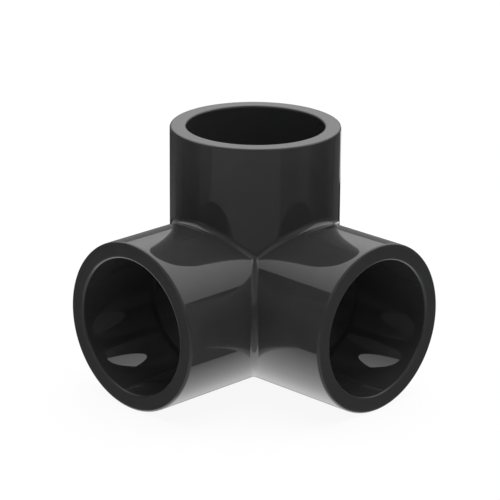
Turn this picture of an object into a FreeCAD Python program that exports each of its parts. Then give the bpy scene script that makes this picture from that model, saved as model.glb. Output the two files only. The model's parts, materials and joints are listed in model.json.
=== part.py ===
import FreeCAD, Part
import math
import os

# A three-way elbow: the corner fitting that holds three pipes square to one another.
# It is moulded in one piece, as three equal sockets that grow out of a hollow, round-backed
# corner. The pipes push in until they meet a stop shoulder, and the way through stays open.
#
# One socket points to the right (+X), one to the front (-Y) and one straight up (+Z). The
# fitting stands on z = 0 on its two level arms, with the middle of its box over the origin.

# Driving dimensions, in millimetres
pipe_diameter = 33.4        # outside diameter of the pipe that each socket takes
socket_clearance = 0.08     # gap between the pipe and the socket wall, on the radius
socket_wall = 4.15          # thickness of the wall round the pipe
socket_depth = 22.9         # how far the pipe goes in, from the mouth to the stop shoulder
stop_ledge = 1.4            # how far the stop shoulder stands in from the socket wall
stop_setback = 3.62         # from the widest point of the crossing to the stop shoulder
mouth_outer_round = 0.6     # rounded outer edge of each mouth
mouth_lead_in = 0.6         # rounded inner edge of each mouth, which guides the pipe in
crease_fillet = 1.6         # fillet in the creases where the outsides of two arms meet

# Sizes that follow from them
socket_radius = pipe_diameter / 2 + socket_clearance
arm_radius = socket_radius + socket_wall
way_radius = socket_radius - stop_ledge
centre_to_stop = way_radius + stop_setback
centre_to_mouth = centre_to_stop + socket_depth

# Where the three socket axes cross, once the middle of the box is over the origin
half_width = (arm_radius + centre_to_mouth) / 2
crossing = FreeCAD.Vector(arm_radius - half_width, half_width - arm_radius, arm_radius)

arm_start = FreeCAD.Vector(0, 0, 0)
up = FreeCAD.Vector(0, 0, 1)
socket_directions = (
    FreeCAD.Vector(1, 0, 0),
    FreeCAD.Vector(0, -1, 0),
    FreeCAD.Vector(0, 0, 1),
)


def at(radius, height):
    """A point of an arm's profile: its distance from the arm's axis and its height along it."""
    return FreeCAD.Vector(radius, 0, height)


def quarter_round(start, centre, end, chords=3):
    """Points along the quarter circle about centre from start to end.

    The round is so small that a few chords keep within 0.02 mm of it.
    """
    points = []
    for step in range(chords + 1):
        angle = math.pi / 2 * step / chords
        offset = (start - centre) * math.cos(angle) + (end - centre) * math.sin(angle)
        points.append(centre + offset)
    return points


def turned(profile):
    """The solid that a closed profile sweeps in one full turn about the arm's axis."""
    outline = Part.makePolygon([*profile, profile[0]])
    return Part.Face(outline).revolve(arm_start, up, 360)


def arm_outside():
    """One arm as a solid bar from the crossing to its mouth, with the mouth's edge rounded."""
    round_start = centre_to_mouth - mouth_outer_round
    face_radius = arm_radius - mouth_outer_round
    return turned([
        at(0, 0),
        at(arm_radius, 0),
        *quarter_round(at(arm_radius, round_start), at(face_radius, round_start),
                       at(face_radius, centre_to_mouth)),
        at(0, centre_to_mouth),
    ])


def arm_hollow():
    """The hollow of one arm: the way through, the stop shoulder, the socket and its lead-in."""
    lead_in_start = centre_to_mouth - mouth_lead_in
    mouth_radius = socket_radius + mouth_lead_in
    return turned([
        at(0, 0),
        at(way_radius, 0),
        at(way_radius, centre_to_stop),
        at(socket_radius, centre_to_stop),
        *quarter_round(at(socket_radius, lead_in_start), at(mouth_radius, lead_in_start),
                       at(mouth_radius, centre_to_mouth)),
        at(0, centre_to_mouth),
    ])


def three_ways(arm, corner_radius):
    """Three copies of an arm, one along each socket axis, joined by a ball at the crossing.

    The ball has the arms' own radius, so it runs smoothly into all three and leaves the
    back of the corner round. Each arm's seam faces the next arm, so all three creases are alike.
    """
    joined = Part.makeSphere(corner_radius, crossing)
    for index, direction in enumerate(socket_directions):
        next_direction = socket_directions[(index + 1) % len(socket_directions)]
        turn = FreeCAD.Rotation(next_direction, FreeCAD.Vector(), direction, "ZXY")
        placed = arm.copy()
        placed.Placement = FreeCAD.Placement(crossing, turn)
        joined = joined.fuse(placed)
    return joined.removeSplitter().Solids[0]


def is_crease(shape, edge):
    """True for an edge where the round outsides of two different arms meet."""
    faces = shape.ancestorsOfType(edge, Part.Face)
    if len(faces) != 2 or faces[0].isSame(faces[1]):
        return False
    return all(isinstance(face.Surface, Part.Cylinder) for face in faces)


def elbow_body():
    """The whole fitting: the joined arms with filleted creases, less the joined hollows."""
    outside = three_ways(arm_outside(), arm_radius)
    creases = [edge for edge in outside.Edges if is_crease(outside, edge)]
    outside = outside.makeFillet(crease_fillet, creases)
    hollow = three_ways(arm_hollow(), way_radius)
    return outside.cut(hollow).Solids[0]


nodes = {"elbow_body": elbow_body()}

os.makedirs("parts", exist_ok=True)
for name, shape in nodes.items():
    shape.exportStep("parts/" + name + ".step")
    print(name, "volume", round(shape.Volume, 1), "mm3, valid", shape.isValid())
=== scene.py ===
# %% [markdown]
# # A three-way elbow for pipe frames
#
# The object is one moulded piece of gloss black rigid PVC. Three equal arms meet at right
# angles in a round-backed corner, and each arm ends in a socket that takes a pipe. All of its
# look comes from a clean shape and from what its glossy skin mirrors, so this lesson is about
# a dense, well-ordered mesh, a moulded plastic finish and a studio that is built for reflections.

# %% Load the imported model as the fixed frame
import json
import math

import bmesh
import bpy
from mathutils import Matrix, Vector


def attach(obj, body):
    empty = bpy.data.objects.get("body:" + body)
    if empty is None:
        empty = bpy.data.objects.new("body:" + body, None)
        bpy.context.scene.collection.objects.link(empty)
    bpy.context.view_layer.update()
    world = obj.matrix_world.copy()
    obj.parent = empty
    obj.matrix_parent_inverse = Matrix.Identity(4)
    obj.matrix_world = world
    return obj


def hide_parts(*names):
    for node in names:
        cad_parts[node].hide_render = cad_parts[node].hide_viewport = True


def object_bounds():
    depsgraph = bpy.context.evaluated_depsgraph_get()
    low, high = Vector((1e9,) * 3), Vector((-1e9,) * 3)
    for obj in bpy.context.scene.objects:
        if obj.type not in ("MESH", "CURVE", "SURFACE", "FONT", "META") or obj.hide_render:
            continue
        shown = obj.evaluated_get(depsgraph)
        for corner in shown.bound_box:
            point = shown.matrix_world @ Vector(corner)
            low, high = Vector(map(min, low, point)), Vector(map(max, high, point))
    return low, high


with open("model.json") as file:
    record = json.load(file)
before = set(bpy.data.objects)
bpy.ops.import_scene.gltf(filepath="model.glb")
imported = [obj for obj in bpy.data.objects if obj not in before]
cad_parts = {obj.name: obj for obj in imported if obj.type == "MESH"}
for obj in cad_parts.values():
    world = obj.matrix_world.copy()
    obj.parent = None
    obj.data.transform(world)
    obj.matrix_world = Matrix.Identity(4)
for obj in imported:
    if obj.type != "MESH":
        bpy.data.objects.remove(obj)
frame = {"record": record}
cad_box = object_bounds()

MM = 0.001
print("CAD box in mm:", [[round(v / MM, 2) for v in corner] for corner in cad_box])

# %% [markdown]
# ## Sizes from the frame
#
# The record lists one mount for each socket: a point on its axis, the direction out of its
# mouth, the radius of the bore and its length. The three axes cross in one point, and every
# other size is measured from there. Reading them here keeps the visible mesh on the CAD model
# when a size changes. Only the small rounds, the stop's ledge and the socket's draft, which the
# record doesn't hold, are written out.

# %% Read the sockets and work out the fitting's main sizes
mounts = {mount["name"]: mount for mount in frame["record"]["mounts"]}
sockets = [mounts[name] for name in ("right_socket", "front_socket", "top_socket")]
directions = [Vector(mount["axis"]) for mount in sockets]

crossing = Vector((
    mounts["top_socket"]["pos_m"][0],
    mounts["right_socket"]["pos_m"][1],
    mounts["right_socket"]["pos_m"][2],
))
arm_radius = crossing.z - cad_box[0][2]
centre_to_mouth = cad_box[1][2] - crossing.z
socket_length = sockets[0]["dims"]["length_mm"] * MM
lead_in_start = (Vector(sockets[0]["pos_m"]) - crossing).length
centre_to_stop = lead_in_start - socket_length

stop_ledge = 1.4 * MM
mouth_outer_round = 0.6 * MM
mouth_lead_in = centre_to_mouth - lead_in_start
crease_fillet = 1.6 * MM

# A real socket narrows by half a degree towards its stop, so that the pipe jams and the mould
# lets go. The CAD model keeps it straight, and the visible wall stays within 0.15 mm of that.
bore_radius = sockets[0]["dims"]["r_mm"] * MM
mouth_widening = 0.05 * MM
socket_draft = math.radians(0.5)
mouth_radius = bore_radius + mouth_widening
stop_radius = mouth_radius - socket_length * math.tan(socket_draft)
way_radius = bore_radius - stop_ledge
print("in mm: arm radius", round(arm_radius / MM, 2), "mouth at", round(centre_to_mouth / MM, 2),
      "socket radius from", round(mouth_radius / MM, 2), "to", round(stop_radius / MM, 2))

# %% [markdown]
# ## A mesh made for reflections
#
# A mirror-bright surface shows every uneven face, so the CAD model's triangles aren't good
# enough to look at. The same form could be cut with booleans and rounded with a bevel, but the
# bevel's faces end up ragged where three creases meet. Here each patch is a grid worked out
# from its own formula, and neighbouring patches share their edge points, so they weld cleanly.
#
# Every patch is written for one arm, as three distances from the crossing: along the arm's own
# socket, along the next one and along the one after that. Stepping through the three arms
# places it three times.

# %% Helpers that place points and join them into grids
QUARTER_STEPS = 48

mesh_builder = bmesh.new()


def place(arm, own, following, last):
    """The point at these distances along the arm's own socket, the following one and the last."""
    return (crossing + own * directions[arm] + following * directions[(arm + 1) % 3]
            + last * directions[(arm + 2) % 3])


def spread(start, end, steps):
    """Evenly spaced values from start to end, both included."""
    return [start + (end - start) * step / steps for step in range(steps + 1)]


def add_grid(rows):
    """Four-sided faces between neighbouring rows of points."""
    corners = [[mesh_builder.verts.new(point) for point in row] for row in rows]
    for lower, upper in zip(corners, corners[1:]):
        for a, b, c, d in zip(lower, lower[1:], upper[1:], upper):
            mesh_builder.faces.new((a, b, c, d))


print("points round an arm:", 4 * QUARTER_STEPS)

# %% [markdown]
# ## The arms
#
# An arm is a turned form: up its outside, round the mouth's outer edge, across the flat face,
# round the lead-in that guides the pipe, down the socket wall to the stop shoulder and on along
# the waterway. Two of its ends aren't level. Where two round bars of one size cross, they meet
# on a plane at 45 degrees, so at each angle round the arm the meeting point lies as far along
# the arm as the surface lies towards its neighbour. The outside stops a little short of that,
# where the fillet begins, and the waterway runs right up to its sharp mitre.

# %% Build the three arms, outside and in
OUTSIDE_STEPS = 8
ROUND_STEPS = 8
FACE_STEPS = 4
WALL_STEPS = 8
LEDGE_STEPS = 3
WAY_STEPS = 6

# How far from an arm's axis the centre of the ball stays that rolls along its creases.
fillet_ball = arm_radius + crease_fillet


def mitre(radius, angle):
    """How far along an arm its surface starts, where it meets the neighbouring arms."""
    return radius * max(0.0, math.cos(angle), math.sin(angle))


def round_edge(centre_radius, centre_height, radius, start, end):
    """Radius and height of points on a rounded edge of the mouth, between two angles."""
    return [(centre_radius + radius * math.cos(angle), centre_height + radius * math.sin(angle))
            for angle in spread(start, end, ROUND_STEPS)]


outer_corner = (arm_radius - mouth_outer_round, centre_to_mouth - mouth_outer_round)
inner_corner = (mouth_radius + mouth_lead_in, centre_to_mouth - mouth_lead_in)
face_radii = spread(outer_corner[0], inner_corner[0], FACE_STEPS)
ledge_radii = spread(stop_radius, way_radius, LEDGE_STEPS)
socket_wall = list(zip(spread(mouth_radius, stop_radius, WALL_STEPS),
                       spread(inner_corner[1], centre_to_stop, WALL_STEPS)))
socket_profile = [
    *round_edge(*outer_corner, mouth_outer_round, 0, math.pi / 2),
    *[(radius, centre_to_mouth) for radius in face_radii[1:-1]],
    *round_edge(*inner_corner, mouth_lead_in, math.pi / 2, math.pi),
    *socket_wall[1:],
    *[(radius, centre_to_stop) for radius in ledge_radii[1:]],
]

for arm in range(3):
    rows = []
    for angle in spread(0, 2 * math.pi, 4 * QUARTER_STEPS):
        outside = spread(mitre(fillet_ball, angle), outer_corner[1], OUTSIDE_STEPS)
        way = spread(centre_to_stop, mitre(way_radius, angle), WAY_STEPS)
        profile = [*[(arm_radius, height) for height in outside[:-1]], *socket_profile,
                   *[(way_radius, height) for height in way[1:]]]
        rows.append([place(arm, height, radius * math.cos(angle), radius * math.sin(angle))
                     for radius, height in profile])
    add_grid(rows)
print("arms:", len(mesh_builder.faces), "faces")

# %% [markdown]
# ## The filleted creases
#
# A ball that rolls along the crease, touching both arms, sweeps the fillet. Its centre is one
# fillet radius outside both arms, so its path is known exactly, and each row of the patch is an
# arc from one touching point to the other. In the middle of the corner the ball touches all
# three arms at once: that last spot is a three-sided piece of the ball itself.

# %% Build the creases and the three-sided patch where they meet
FILLET_STEPS = 10
CREASE_STEPS = QUARTER_STEPS * 3 // 2


def on_ball(centre, pulls, shares):
    """A point of the fillet, on the ball, in a direction mixed from the touching directions."""
    direction = sum((pull * share for pull, share in zip(pulls, shares)), Vector())
    return centre + crease_fillet * direction.normalized()


for arm in range(3):
    rows = []
    for angle in spread(-math.pi / 2, math.pi / 4, CREASE_STEPS):
        beside, beyond = math.cos(angle), math.sin(angle)
        centre = fillet_ball * Vector((beside, beside, beyond))
        pulls = (Vector((0, -beside, -beyond)), Vector((-beside, 0, -beyond)))
        rows.append([place(arm, *on_ball(centre, pulls, (1 - share, share)))
                     for share in spread(0, 1, FILLET_STEPS)])
    add_grid(rows)

centre = fillet_ball / math.sqrt(2) * Vector((1, 1, 1))
pulls = (Vector((0, -1, -1)), Vector((-1, 0, -1)), Vector((-1, -1, 0)))
patch = {}
for first in range(FILLET_STEPS + 1):
    for second in range(FILLET_STEPS + 1 - first):
        shares = (first, second, FILLET_STEPS - first - second)
        patch[first, second] = mesh_builder.verts.new(place(0, *on_ball(centre, pulls, shares)))
for first, second in patch:
    right, up, across = (first + 1, second), (first, second + 1), (first + 1, second + 1)
    if right in patch and up in patch:
        mesh_builder.faces.new((patch[first, second], patch[right], patch[up]))
    if across in patch:
        mesh_builder.faces.new((patch[right], patch[across], patch[up]))
print("with creases:", len(mesh_builder.faces), "faces")

# %% [markdown]
# ## The round back of the corner
#
# Behind the crossing all three arms run into a piece of a ball of their own radius, outside and
# inside. A ball with its poles and thin triangles would pinch a reflection, so each eighth is
# three square grids pushed out from a cube, as on a quad sphere. Their tangents step evenly in
# angle, which makes their border points the same as the arms' own.

# %% Build the back, outside and in, and weld everything
slopes = [math.tan(angle) for angle in spread(0, math.pi / 4, QUARTER_STEPS // 2)]
for radius in (arm_radius, way_radius):
    for arm in range(3):
        add_grid([[place(arm, *(radius * Vector((-1, -a, -b)).normalized())) for b in slopes]
                  for a in slopes])

# Points closer than this are made one point.
WELD = 0.002 * MM
NO_LENGTH = WELD / 20
bmesh.ops.remove_doubles(mesh_builder, verts=mesh_builder.verts, dist=WELD)
bmesh.ops.dissolve_degenerate(mesh_builder, edges=mesh_builder.edges, dist=NO_LENGTH)
bmesh.ops.recalc_face_normals(mesh_builder, faces=mesh_builder.faces)
open_edges = sum(not edge.is_manifold for edge in mesh_builder.edges)
print("faces:", len(mesh_builder.faces), "open edges:", open_edges,
      "volume in mm3:", round(mesh_builder.calc_volume() / MM**3, 1))

# %% [markdown]
# ## Shading
#
# Smooth shading alone would smear the stop shoulder and the mitre, which are sharp on the real
# moulding. Edges that turn by more than a set angle are marked sharp, and a Weighted Normal
# modifier lets the large faces decide the shading beside the small rounds, so the flat mouth
# faces stay flat right up to their edges.

# %% Turn the mesh into the visible piece
SHARP_ANGLE = math.radians(40)
LARGE_FACES_FIRST = 100

mesh = bpy.data.meshes.new("moulded_elbow")
mesh_builder.to_mesh(mesh)
mesh_builder.free()
mesh.shade_smooth()
mesh.set_sharp_from_angle(angle=SHARP_ANGLE)
elbow = bpy.data.objects.new("moulded_elbow", mesh)
bpy.context.scene.collection.objects.link(elbow)
weighting = elbow.modifiers.new("Even shading", "WEIGHTED_NORMAL")
weighting.keep_sharp = True
weighting.weight = LARGE_FACES_FIRST

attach(elbow, "root")
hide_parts("elbow_body")
print("visible piece:", len(mesh.vertices), "points")

# %% [markdown]
# ## Colours and nodes
#
# Colours are picked as sRGB hex values, as on a screen, while Blender works with linear light.
# One function converts them. A second small function adds a node with its settings and its
# links, so each material below reads as a short recipe.

# %% Helpers for colours and nodes


def linear(hex_colour):
    """A hex colour such as '#333334' as linear red, green, blue and full alpha."""
    values = [int(hex_colour[i:i + 2], 16) / 255 for i in (1, 3, 5)]
    return [*((v / 12.92 if v <= 0.04045 else ((v + 0.055) / 1.055) ** 2.4) for v in values), 1.0]


def add_node(tree, kind, links=None, **settings):
    """Add a node. Settings are its properties or inputs, and links maps inputs to outputs."""
    node = tree.nodes.new(kind)
    for name, value in settings.items():
        if name in node.bl_rna.properties:
            setattr(node, name, value)
        else:
            node.inputs[name.replace("_", " ")].default_value = value
    for name, output in (links or {}).items():
        tree.links.new(output, node.inputs[name])
    return node


def new_material(name):
    """An empty node material and its output node."""
    material = bpy.data.materials.new(name)
    material.use_nodes = True
    material.node_tree.nodes.clear()
    return material, material.node_tree.nodes.new("ShaderNodeOutputMaterial")


print("dark grey in linear light:", [round(v, 4) for v in linear("#333334")])

# %% [markdown]
# ## Injection-moulded rigid PVC
#
# Pipe fittings are injection-moulded from rigid PVC, here filled with carbon black. The steel
# mould is polished, so the skin is nearly a mirror: only a little light comes back out of the
# dark grey body, and what the eye reads is mostly the clear reflection on top. That reflection
# is weak seen straight on and strong at a glancing angle, which an IOR of 1.53, that of rigid
# PVC, gives.
#
# No moulding is a perfect mirror. The melt freezes against the mould with a very faint waviness
# about 3 mm long, and the polish varies a little, so both get slow noise. Its scale is worked
# out from its size in millimetres.

# %% Choose the plastic's sizes, colours and polish
WAVINESS = 3.0 * MM
WAVE_HEIGHT = 0.002 * MM
POLISH_PATCH = 6.0 * MM
SMOOTHEST, ROUGHEST = 0.01, 0.02
PIGMENT_COLOURS = ("#333334", "#363637")
RIGID_PVC_IOR = 1.53

# Blender's noise stays mostly between these two values, so they stand for its ends.
NOISE_LOW, NOISE_HIGH = 0.3, 0.7
print("waviness scale:", round(1 / WAVINESS), "per metre")

# %% Make the plastic
plastic, output = new_material("injection_moulded_rigid_pvc")
tree = plastic.node_tree
place_on_part = add_node(tree, "ShaderNodeTexCoord").outputs["Object"]
polish = add_node(tree, "ShaderNodeTexNoise", {"Vector": place_on_part},
                  Scale=1 / POLISH_PATCH, Detail=3.0, Roughness=0.5)
roughness = add_node(tree, "ShaderNodeMapRange", {"Value": polish.outputs["Fac"]},
                     From_Min=NOISE_LOW, From_Max=NOISE_HIGH, To_Min=SMOOTHEST, To_Max=ROUGHEST)
pigment = add_node(tree, "ShaderNodeValToRGB", {"Fac": polish.outputs["Fac"]})
ramp_stops = zip(pigment.color_ramp.elements, (NOISE_LOW, NOISE_HIGH), PIGMENT_COLOURS)
for stop, position, colour in ramp_stops:
    stop.position = position
    stop.color = linear(colour)
waves = add_node(tree, "ShaderNodeTexNoise", {"Vector": place_on_part},
                 Scale=1 / WAVINESS, Detail=1.0, Roughness=0.4)
bump = add_node(tree, "ShaderNodeBump", {"Height": waves.outputs["Fac"]},
                Strength=1.0, Distance=WAVE_HEIGHT)
print("plastic nodes:", len(tree.nodes))

# %% Wire the plastic's shader
shader = add_node(tree, "ShaderNodeBsdfPrincipled", {
    "Base Color": pigment.outputs["Color"],
    "Roughness": roughness.outputs["Result"],
    "Normal": bump.outputs["Normal"],
}, IOR=RIGID_PVC_IOR)
tree.links.new(shader.outputs["BSDF"], output.inputs["Surface"])
elbow.data.materials.append(plastic)
print("elbow material:", elbow.data.materials[0].name)

# %% [markdown]
# ## The camera
#
# The photograph looks straight into the corner between the two level arms, from a little above
# and from far away with a long lens. The angles were found by lining up the mouths' ellipses
# and the arms' outlines, and the aim is a point a little above the crossing.

# %% Place the camera
VIEW_AZIMUTH = math.radians(44.69)
VIEW_ELEVATION = math.radians(19.64)
VIEW_ROLL = math.radians(0.446)
VIEW_DISTANCE = 675.7 * MM
LENS_MM = 195.72
AIM_RIGHT = -1.11 * MM
AIM_UP = 9.61 * MM

towards_camera = Vector((math.sin(VIEW_AZIMUTH), -math.cos(VIEW_AZIMUTH), 0))
camera_right = Vector((math.cos(VIEW_AZIMUTH), math.sin(VIEW_AZIMUTH), 0))
upwards = Vector((0, 0, 1))

camera = bpy.data.objects.new("camera", bpy.data.cameras.new("camera"))
bpy.context.scene.collection.objects.link(camera)
bpy.context.scene.camera = camera
camera.data.lens = LENS_MM
camera.data.clip_start = 50 * MM
camera.location = crossing + VIEW_DISTANCE * (
    towards_camera * math.cos(VIEW_ELEVATION) + upwards * math.sin(VIEW_ELEVATION))
aim = crossing + camera_right * AIM_RIGHT + upwards * AIM_UP
level = (aim - camera.location).to_track_quat("-Z", "Y").to_matrix()
camera.rotation_euler = (level @ Matrix.Rotation(VIEW_ROLL, 3, "Z")).to_euler()
print("camera at", [round(v, 3) for v in camera.location])

# %% [markdown]
# ## A studio room made of cards
#
# Gloss black plastic shows its surroundings more than itself. The photograph's reflections say
# what stood there: a bright ceiling that begins overhead and runs back behind the part, a lit
# table below it, dark walls at the sides, a grey wall behind and a grey front. Photographers
# build that with softboxes and black flags around the part, just outside the picture.
#
# Here each one is a flat card in a large room round the part, hidden from the camera's own rays
# and seen by the gloss. The room is so large that the cards' edges mirror as straight lines.
# It leans a few degrees, because the photograph's reflections do. Each card's brightness is a
# short formula, or a few levels along the card, matched to the tones of the photograph.

# %% Set up the room's axes
ROOM_HALF_HEIGHT = 3.0
ROOM_LEAN = math.radians(6.6)
CARD_CELLS = 24

room_right = camera_right * math.cos(ROOM_LEAN) - upwards * math.sin(ROOM_LEAN)
room_up = upwards * math.cos(ROOM_LEAN) + camera_right * math.sin(ROOM_LEAN)
room_axes = Matrix((room_right, -towards_camera, room_up)).transposed().to_4x4()
room = Matrix.Translation(crossing) @ room_axes

glowing, output = new_material("studio_card")
glow_level = add_node(glowing.node_tree, "ShaderNodeAttribute", attribute_name="glow")
glow = add_node(glowing.node_tree, "ShaderNodeEmission", {"Strength": glow_level.outputs["Fac"]})
glowing.node_tree.links.new(glow.outputs["Emission"], output.inputs["Surface"])


def hang_card(name, corners, brightness, cells=CARD_CELLS):
    """A flat card in the room.

    Its four corners are given as right, back and up, in half room heights. The brightness is
    a function of the same three numbers, where 1 mirrors as white.
    """
    a, b, c, d = (Vector(corner) for corner in corners)
    points = [a.lerp(b, u).lerp(d.lerp(c, u), v)
              for v in spread(0, 1, cells) for u in spread(0, 1, cells)]
    faces = [(k, k + 1, k + cells + 2, k + cells + 1)
             for k in range(cells * (cells + 1)) if k % (cells + 1) < cells]
    card_mesh = bpy.data.meshes.new(name)
    card_mesh.from_pydata([point * ROOM_HALF_HEIGHT for point in points], [], faces)
    levels = card_mesh.attributes.new("glow", "FLOAT", "POINT")
    levels.data.foreach_set("value", [brightness(*point) for point in points])
    card_mesh.materials.append(glowing)
    card = bpy.data.objects.new(name, card_mesh)
    card.matrix_world = room
    card.visible_camera = False
    bpy.context.scene.collection.objects.link(card)
    return card


print("room leans by", round(math.degrees(ROOM_LEAN), 1), "degrees")

# %% Helpers for the cards' corners and their brightness


def level_card(left, right, front, back, up):
    """The corners of a card that lies level."""
    return [(left, front, up), (right, front, up), (right, back, up), (left, back, up)]


def upright_card(left, right, back, bottom, top):
    """The corners of a card that stands across the view."""
    return [(left, back, bottom), (right, back, bottom), (right, back, top), (left, back, top)]


def even(level):
    """A brightness that is the same all over a card."""
    return lambda right, back, up: level


def bell(distance, width):
    """1 in the middle, fading smoothly with the distance."""
    return math.exp(-(distance / width) ** 2)


def along(value, *stops):
    """The brightness at a value, on straight lines between stops of (value, brightness)."""
    for (start, low), (end, high) in zip(stops, stops[1:]):
        if value <= end:
            return low + (high - low) * max(0.0, value - start) / (end - start)
    return stops[-1][1]


print("half way between two stops:", along(0.5, (0, 0.0), (1, 1.0)))

# %% Hang the two softboxes
# All places in the room are in half room heights, measured from the crossing.
TABLE, CEILING = -1, 1
SOFTBOX = 1.63
CEILING_SPREAD = 3.1
TABLE_EDGE = -0.325
BACK = 5.1


def ceiling_light(right, back, up):
    """An even panel with a hot spot over the part."""
    panel = 0.83 * bell(right, 3.6)
    hot_spot = 1.2 * bell(right + 0.04, 1.19) * bell(back, 2.4)
    return panel + hot_spot


def table_light(right, back, up):
    """Brightest just under the part, fading to the sides and the back."""
    return 2.11 * bell(right, 1.63) * bell(back, 1.54)


hang_card("ceiling_softbox",
          [(-SOFTBOX, 0, CEILING), (SOFTBOX, 0, CEILING),
           (CEILING_SPREAD, BACK, CEILING), (-CEILING_SPREAD, BACK, CEILING)], ceiling_light)
hang_card("table_softbox", level_card(-SOFTBOX, SOFTBOX, TABLE_EDGE, BACK, TABLE), table_light)
print("softboxes hung")

# %% Hang the front of the room
SIDE = 3.46
FRONT = -2.0
FLAG_EDGE = 1.42
CEILING_START = 0.93


def front_ceiling_light(right, back, up):
    """Grey, lightest at the front, with a darker strip above the middle of the view."""
    strip = 0.26 * bell(right, 0.3)
    return 0.45 - strip + 0.03 * right - 0.1 * (back + 1)


def front_table_light(right, back, up):
    """Lighter towards the part."""
    return along(back, (FRONT, 0.32), (-1, 0.5), (TABLE_EDGE, 0.72))


def front_wall_light(right, back, up):
    """Grey below the part's level, lightest near the table, and dark above it."""
    return 0.2 - 0.13 * up if up < 0 else 0.08


hang_card("front_ceiling",
          [(-CEILING_START, FRONT, CEILING), (CEILING_START, FRONT, CEILING),
           (SOFTBOX, 0, CEILING), (-SOFTBOX, 0, CEILING)], front_ceiling_light)
hang_card("front_table", level_card(-SOFTBOX, SOFTBOX, FRONT, TABLE_EDGE, TABLE),
          front_table_light)
hang_card("front_wall", upright_card(-SOFTBOX, FLAG_EDGE, FRONT, TABLE, CEILING),
          front_wall_light)
for name, start, low in (("left", -SOFTBOX, 0.25), ("right", FLAG_EDGE, 0.17)):
    end = math.copysign(SIDE, start)
    hang_card(name + "_front_low", upright_card(start, end, FRONT, TABLE, 0), even(low))
    hang_card(name + "_front_high", upright_card(start, end, FRONT, 0, CEILING), even(0.08))
print("front hung")

# %% Lighten the front left corner of the table
# The photograph shows the front of the table lit further left than the left flag leaves it. So
# two cards lie just above that flag: a strip beside the front table, and a triangle beside it.
ABOVE_TABLE = -0.995
CORNER_LEVEL = 0.32
STRIP_LEFT, STRIP_BACK = -2.03, -0.95
TRIANGLE_LEFT, TRIANGLE_BACK = -3.11, -1.27
TRIANGLE_MIDDLE = -1.5

hang_card("front_corner", level_card(-SOFTBOX, STRIP_LEFT, FRONT, STRIP_BACK, ABOVE_TABLE),
          even(CORNER_LEVEL))
hang_card("front_corner_side",
          [(STRIP_LEFT, FRONT, ABOVE_TABLE), (TRIANGLE_LEFT, FRONT, ABOVE_TABLE),
           (STRIP_LEFT, TRIANGLE_BACK, ABOVE_TABLE), (STRIP_LEFT, TRIANGLE_MIDDLE, ABOVE_TABLE)],
          even(CORNER_LEVEL))
print("front corner hung")

# %% Hang the flags at the sides and the wall at the back
FINE_CELLS = 48


def left_wall_light(right, back, up):
    """Darkest level with the part, lighter towards the front and the back."""
    return along(back, (-1, 0.26), (-0.5, 0.11), (0, 0.03), (1, 0.03), (2.2, 0.05), (BACK, 0.18))


def right_wall_light(right, back, up):
    """The same on the right, and even above the part's level."""
    if up > 0:
        return 0.12
    return along(back, (-1, 0.21), (-0.5, 0.12), (0.3, 0.075), (1, 0.07), (2.2, 0.1), (BACK, 0.05))


def left_table_light(right, back, up):
    """Darkest beside the part, a little lighter towards the front and the back."""
    return along(back, (-0.6, 0.17), (-0.3, 0.08), (0.1, 0.06), (2, 0.12), (BACK, 0.12))


for side, wall, ceiling, front_ceiling, table, front_table in (
        (-1, left_wall_light, 0.012, 0.11, left_table_light, left_table_light),
        (1, right_wall_light, 0.0, 0.13, even(0.13), even(0.55))):
    near, far = side * SOFTBOX, side * SIDE
    hang_card("side_wall", [(far, FRONT, TABLE), (far, BACK, TABLE),
                            (far, BACK, CEILING), (far, FRONT, CEILING)], wall, FINE_CELLS)
    hang_card("ceiling_flag", [(near, 0, CEILING), (far, 0, CEILING), (far, BACK, CEILING),
                               (side * CEILING_SPREAD, BACK, CEILING)], even(ceiling))
    hang_card("front_ceiling_flag", [(side * CEILING_START, FRONT, CEILING), (far, FRONT, CEILING),
                                     (far, 0, CEILING), (near, 0, CEILING)], even(front_ceiling))
    hang_card("table_flag", level_card(near, far, TABLE_EDGE, BACK, TABLE), table, FINE_CELLS)
    hang_card("front_table_flag", level_card(near, far, FRONT, TABLE_EDGE, TABLE), front_table)
hang_card("back_wall", upright_card(-SIDE, SIDE, BACK, TABLE, CEILING), even(0.25))
print("flags hung")

# %% [markdown]
# ## A strip softbox behind
#
# Seen from behind, the part would mirror only dark walls and look matt. A tall, narrow softbox
# far behind it draws an upright highlight on its back. It stands in directions that no surface
# of the photograph's view mirrors, so that view hardly changes.

# %% Hang the strip softbox
SOFTBOX_BEHIND = 3.3
SOFTBOX_MIDDLE = 0.95
SOFTBOX_BRIGHTNESS = 1.4
SOFT_EDGE = 0.26


def strip_light(right, back, up):
    """Brightest along its middle, with soft edges."""
    return SOFTBOX_BRIGHTNESS * bell(right - SOFTBOX_MIDDLE, SOFT_EDGE)


hang_card("strip_softbox", upright_card(0.4, 1.5, SOFTBOX_BEHIND, -0.95, 0.15), strip_light)
print("strip hung")

# %% [markdown]
# ## Fill cards
#
# The plastic's own dark grey needs a little more light than its reflections show. A studio gets
# that from lights with polarising filters, which brighten a surface without showing in its
# gloss. Here it is five cards that the gloss doesn't see.

# %% Hang the fill cards
FILL_HEIGHT = 0.98
FILL_FRONT = -1.96

for name, corners, brightness in (
        ("fill_above", level_card(-0.5, 0.5, -0.5, 0.5, FILL_HEIGHT), 3.2),
        ("fill_below", level_card(-0.5, 0.5, -1.3, 0.2, -FILL_HEIGHT), 1.0),
        ("fill_left", level_card(-2.0, -0.5, -1.3, -0.3, -FILL_HEIGHT), 2.6),
        ("fill_right", level_card(0.5, 2.0, -1.3, -0.3, -FILL_HEIGHT), 2.4),
        ("fill_front", upright_card(-1.0, 1.0, FILL_FRONT, -0.5, 0.5), 1.0)):
    card = hang_card(name, corners, even(brightness), cells=1)
    card.visible_glossy = False
print("fill cards hung")

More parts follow.
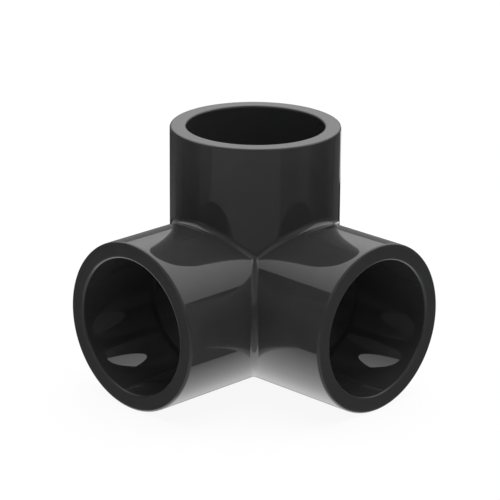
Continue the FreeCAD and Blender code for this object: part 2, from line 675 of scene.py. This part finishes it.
# %% [markdown]
# ## Floor and background
#
# The part stands on a plain pale floor that runs into a white background. The floor is matt
# white, so that it keeps the part's soft shadow, and part of its brightness is set for the
# camera's, mirrored and clear rays, which holds the open floor at white without more light.
#
# The table card hangs far below this floor, and has to light the part and show in its gloss, as
# the lit table does in the photograph. So the floor is hidden from mirrored and scattered rays,
# and it doesn't block the card's light. The part's own shadow on the floor stays as it is.

# %% Lay the floor
REACH = 4.0

floor_mesh = bpy.data.meshes.new("floor")
floor_corners = [(-REACH, -REACH, 0), (REACH, -REACH, 0), (REACH, REACH, 0), (-REACH, REACH, 0)]
floor_mesh.from_pydata(floor_corners, [], [(0, 1, 2, 3)])
floor = bpy.data.objects.new("floor", floor_mesh)
bpy.context.scene.collection.objects.link(floor)
floor.visible_glossy = False
floor.visible_diffuse = False
floor.visible_shadow = False
print("floor width in metres:", 2 * REACH)

# %% Make the floor's matt white
WHITE_SHARE = 0.92


def seen_directly(tree):
    """1 for the camera's rays and for mirrored and clear ones, and 0 for all others."""
    rays = add_node(tree, "ShaderNodeLightPath")
    camera_or_glossy = add_node(tree, "ShaderNodeMath", {
        0: rays.outputs["Is Camera Ray"], 1: rays.outputs["Is Glossy Ray"]}, operation="MAXIMUM")
    seen = add_node(tree, "ShaderNodeMath", {
        0: camera_or_glossy.outputs[0], 1: rays.outputs["Is Transmission Ray"]},
        operation="MAXIMUM")
    return seen.outputs[0]


floor_paint, output = new_material("matt_white_floor")
tree = floor_paint.node_tree
share = add_node(tree, "ShaderNodeMath", {0: seen_directly(tree)}, operation="MULTIPLY")
share.inputs[1].default_value = WHITE_SHARE
paint = add_node(tree, "ShaderNodeBsdfDiffuse", Color=linear("#F2F2F2"))
white = add_node(tree, "ShaderNodeEmission", Strength=1.0)
mixed = add_node(tree, "ShaderNodeMixShader", {
    "Fac": share.outputs[0], 1: paint.outputs["BSDF"], 2: white.outputs["Emission"]})
tree.links.new(mixed.outputs["Shader"], output.inputs["Surface"])
floor.data.materials.append(floor_paint)
print("floor material:", floor.data.materials[0].name)

# %% Make the white background
world = bpy.data.worlds.new("white_background")
bpy.context.scene.world = world
world.use_nodes = True
tree = world.node_tree
tree.nodes.clear()
background = add_node(tree, "ShaderNodeBackground", {"Strength": seen_directly(tree)},
                      Color=linear("#FFFFFF"))
add_node(tree, "ShaderNodeOutputWorld", {"Surface": background.outputs["Background"]})
bpy.context.scene.view_settings.view_transform = "Standard"
print("background ready")
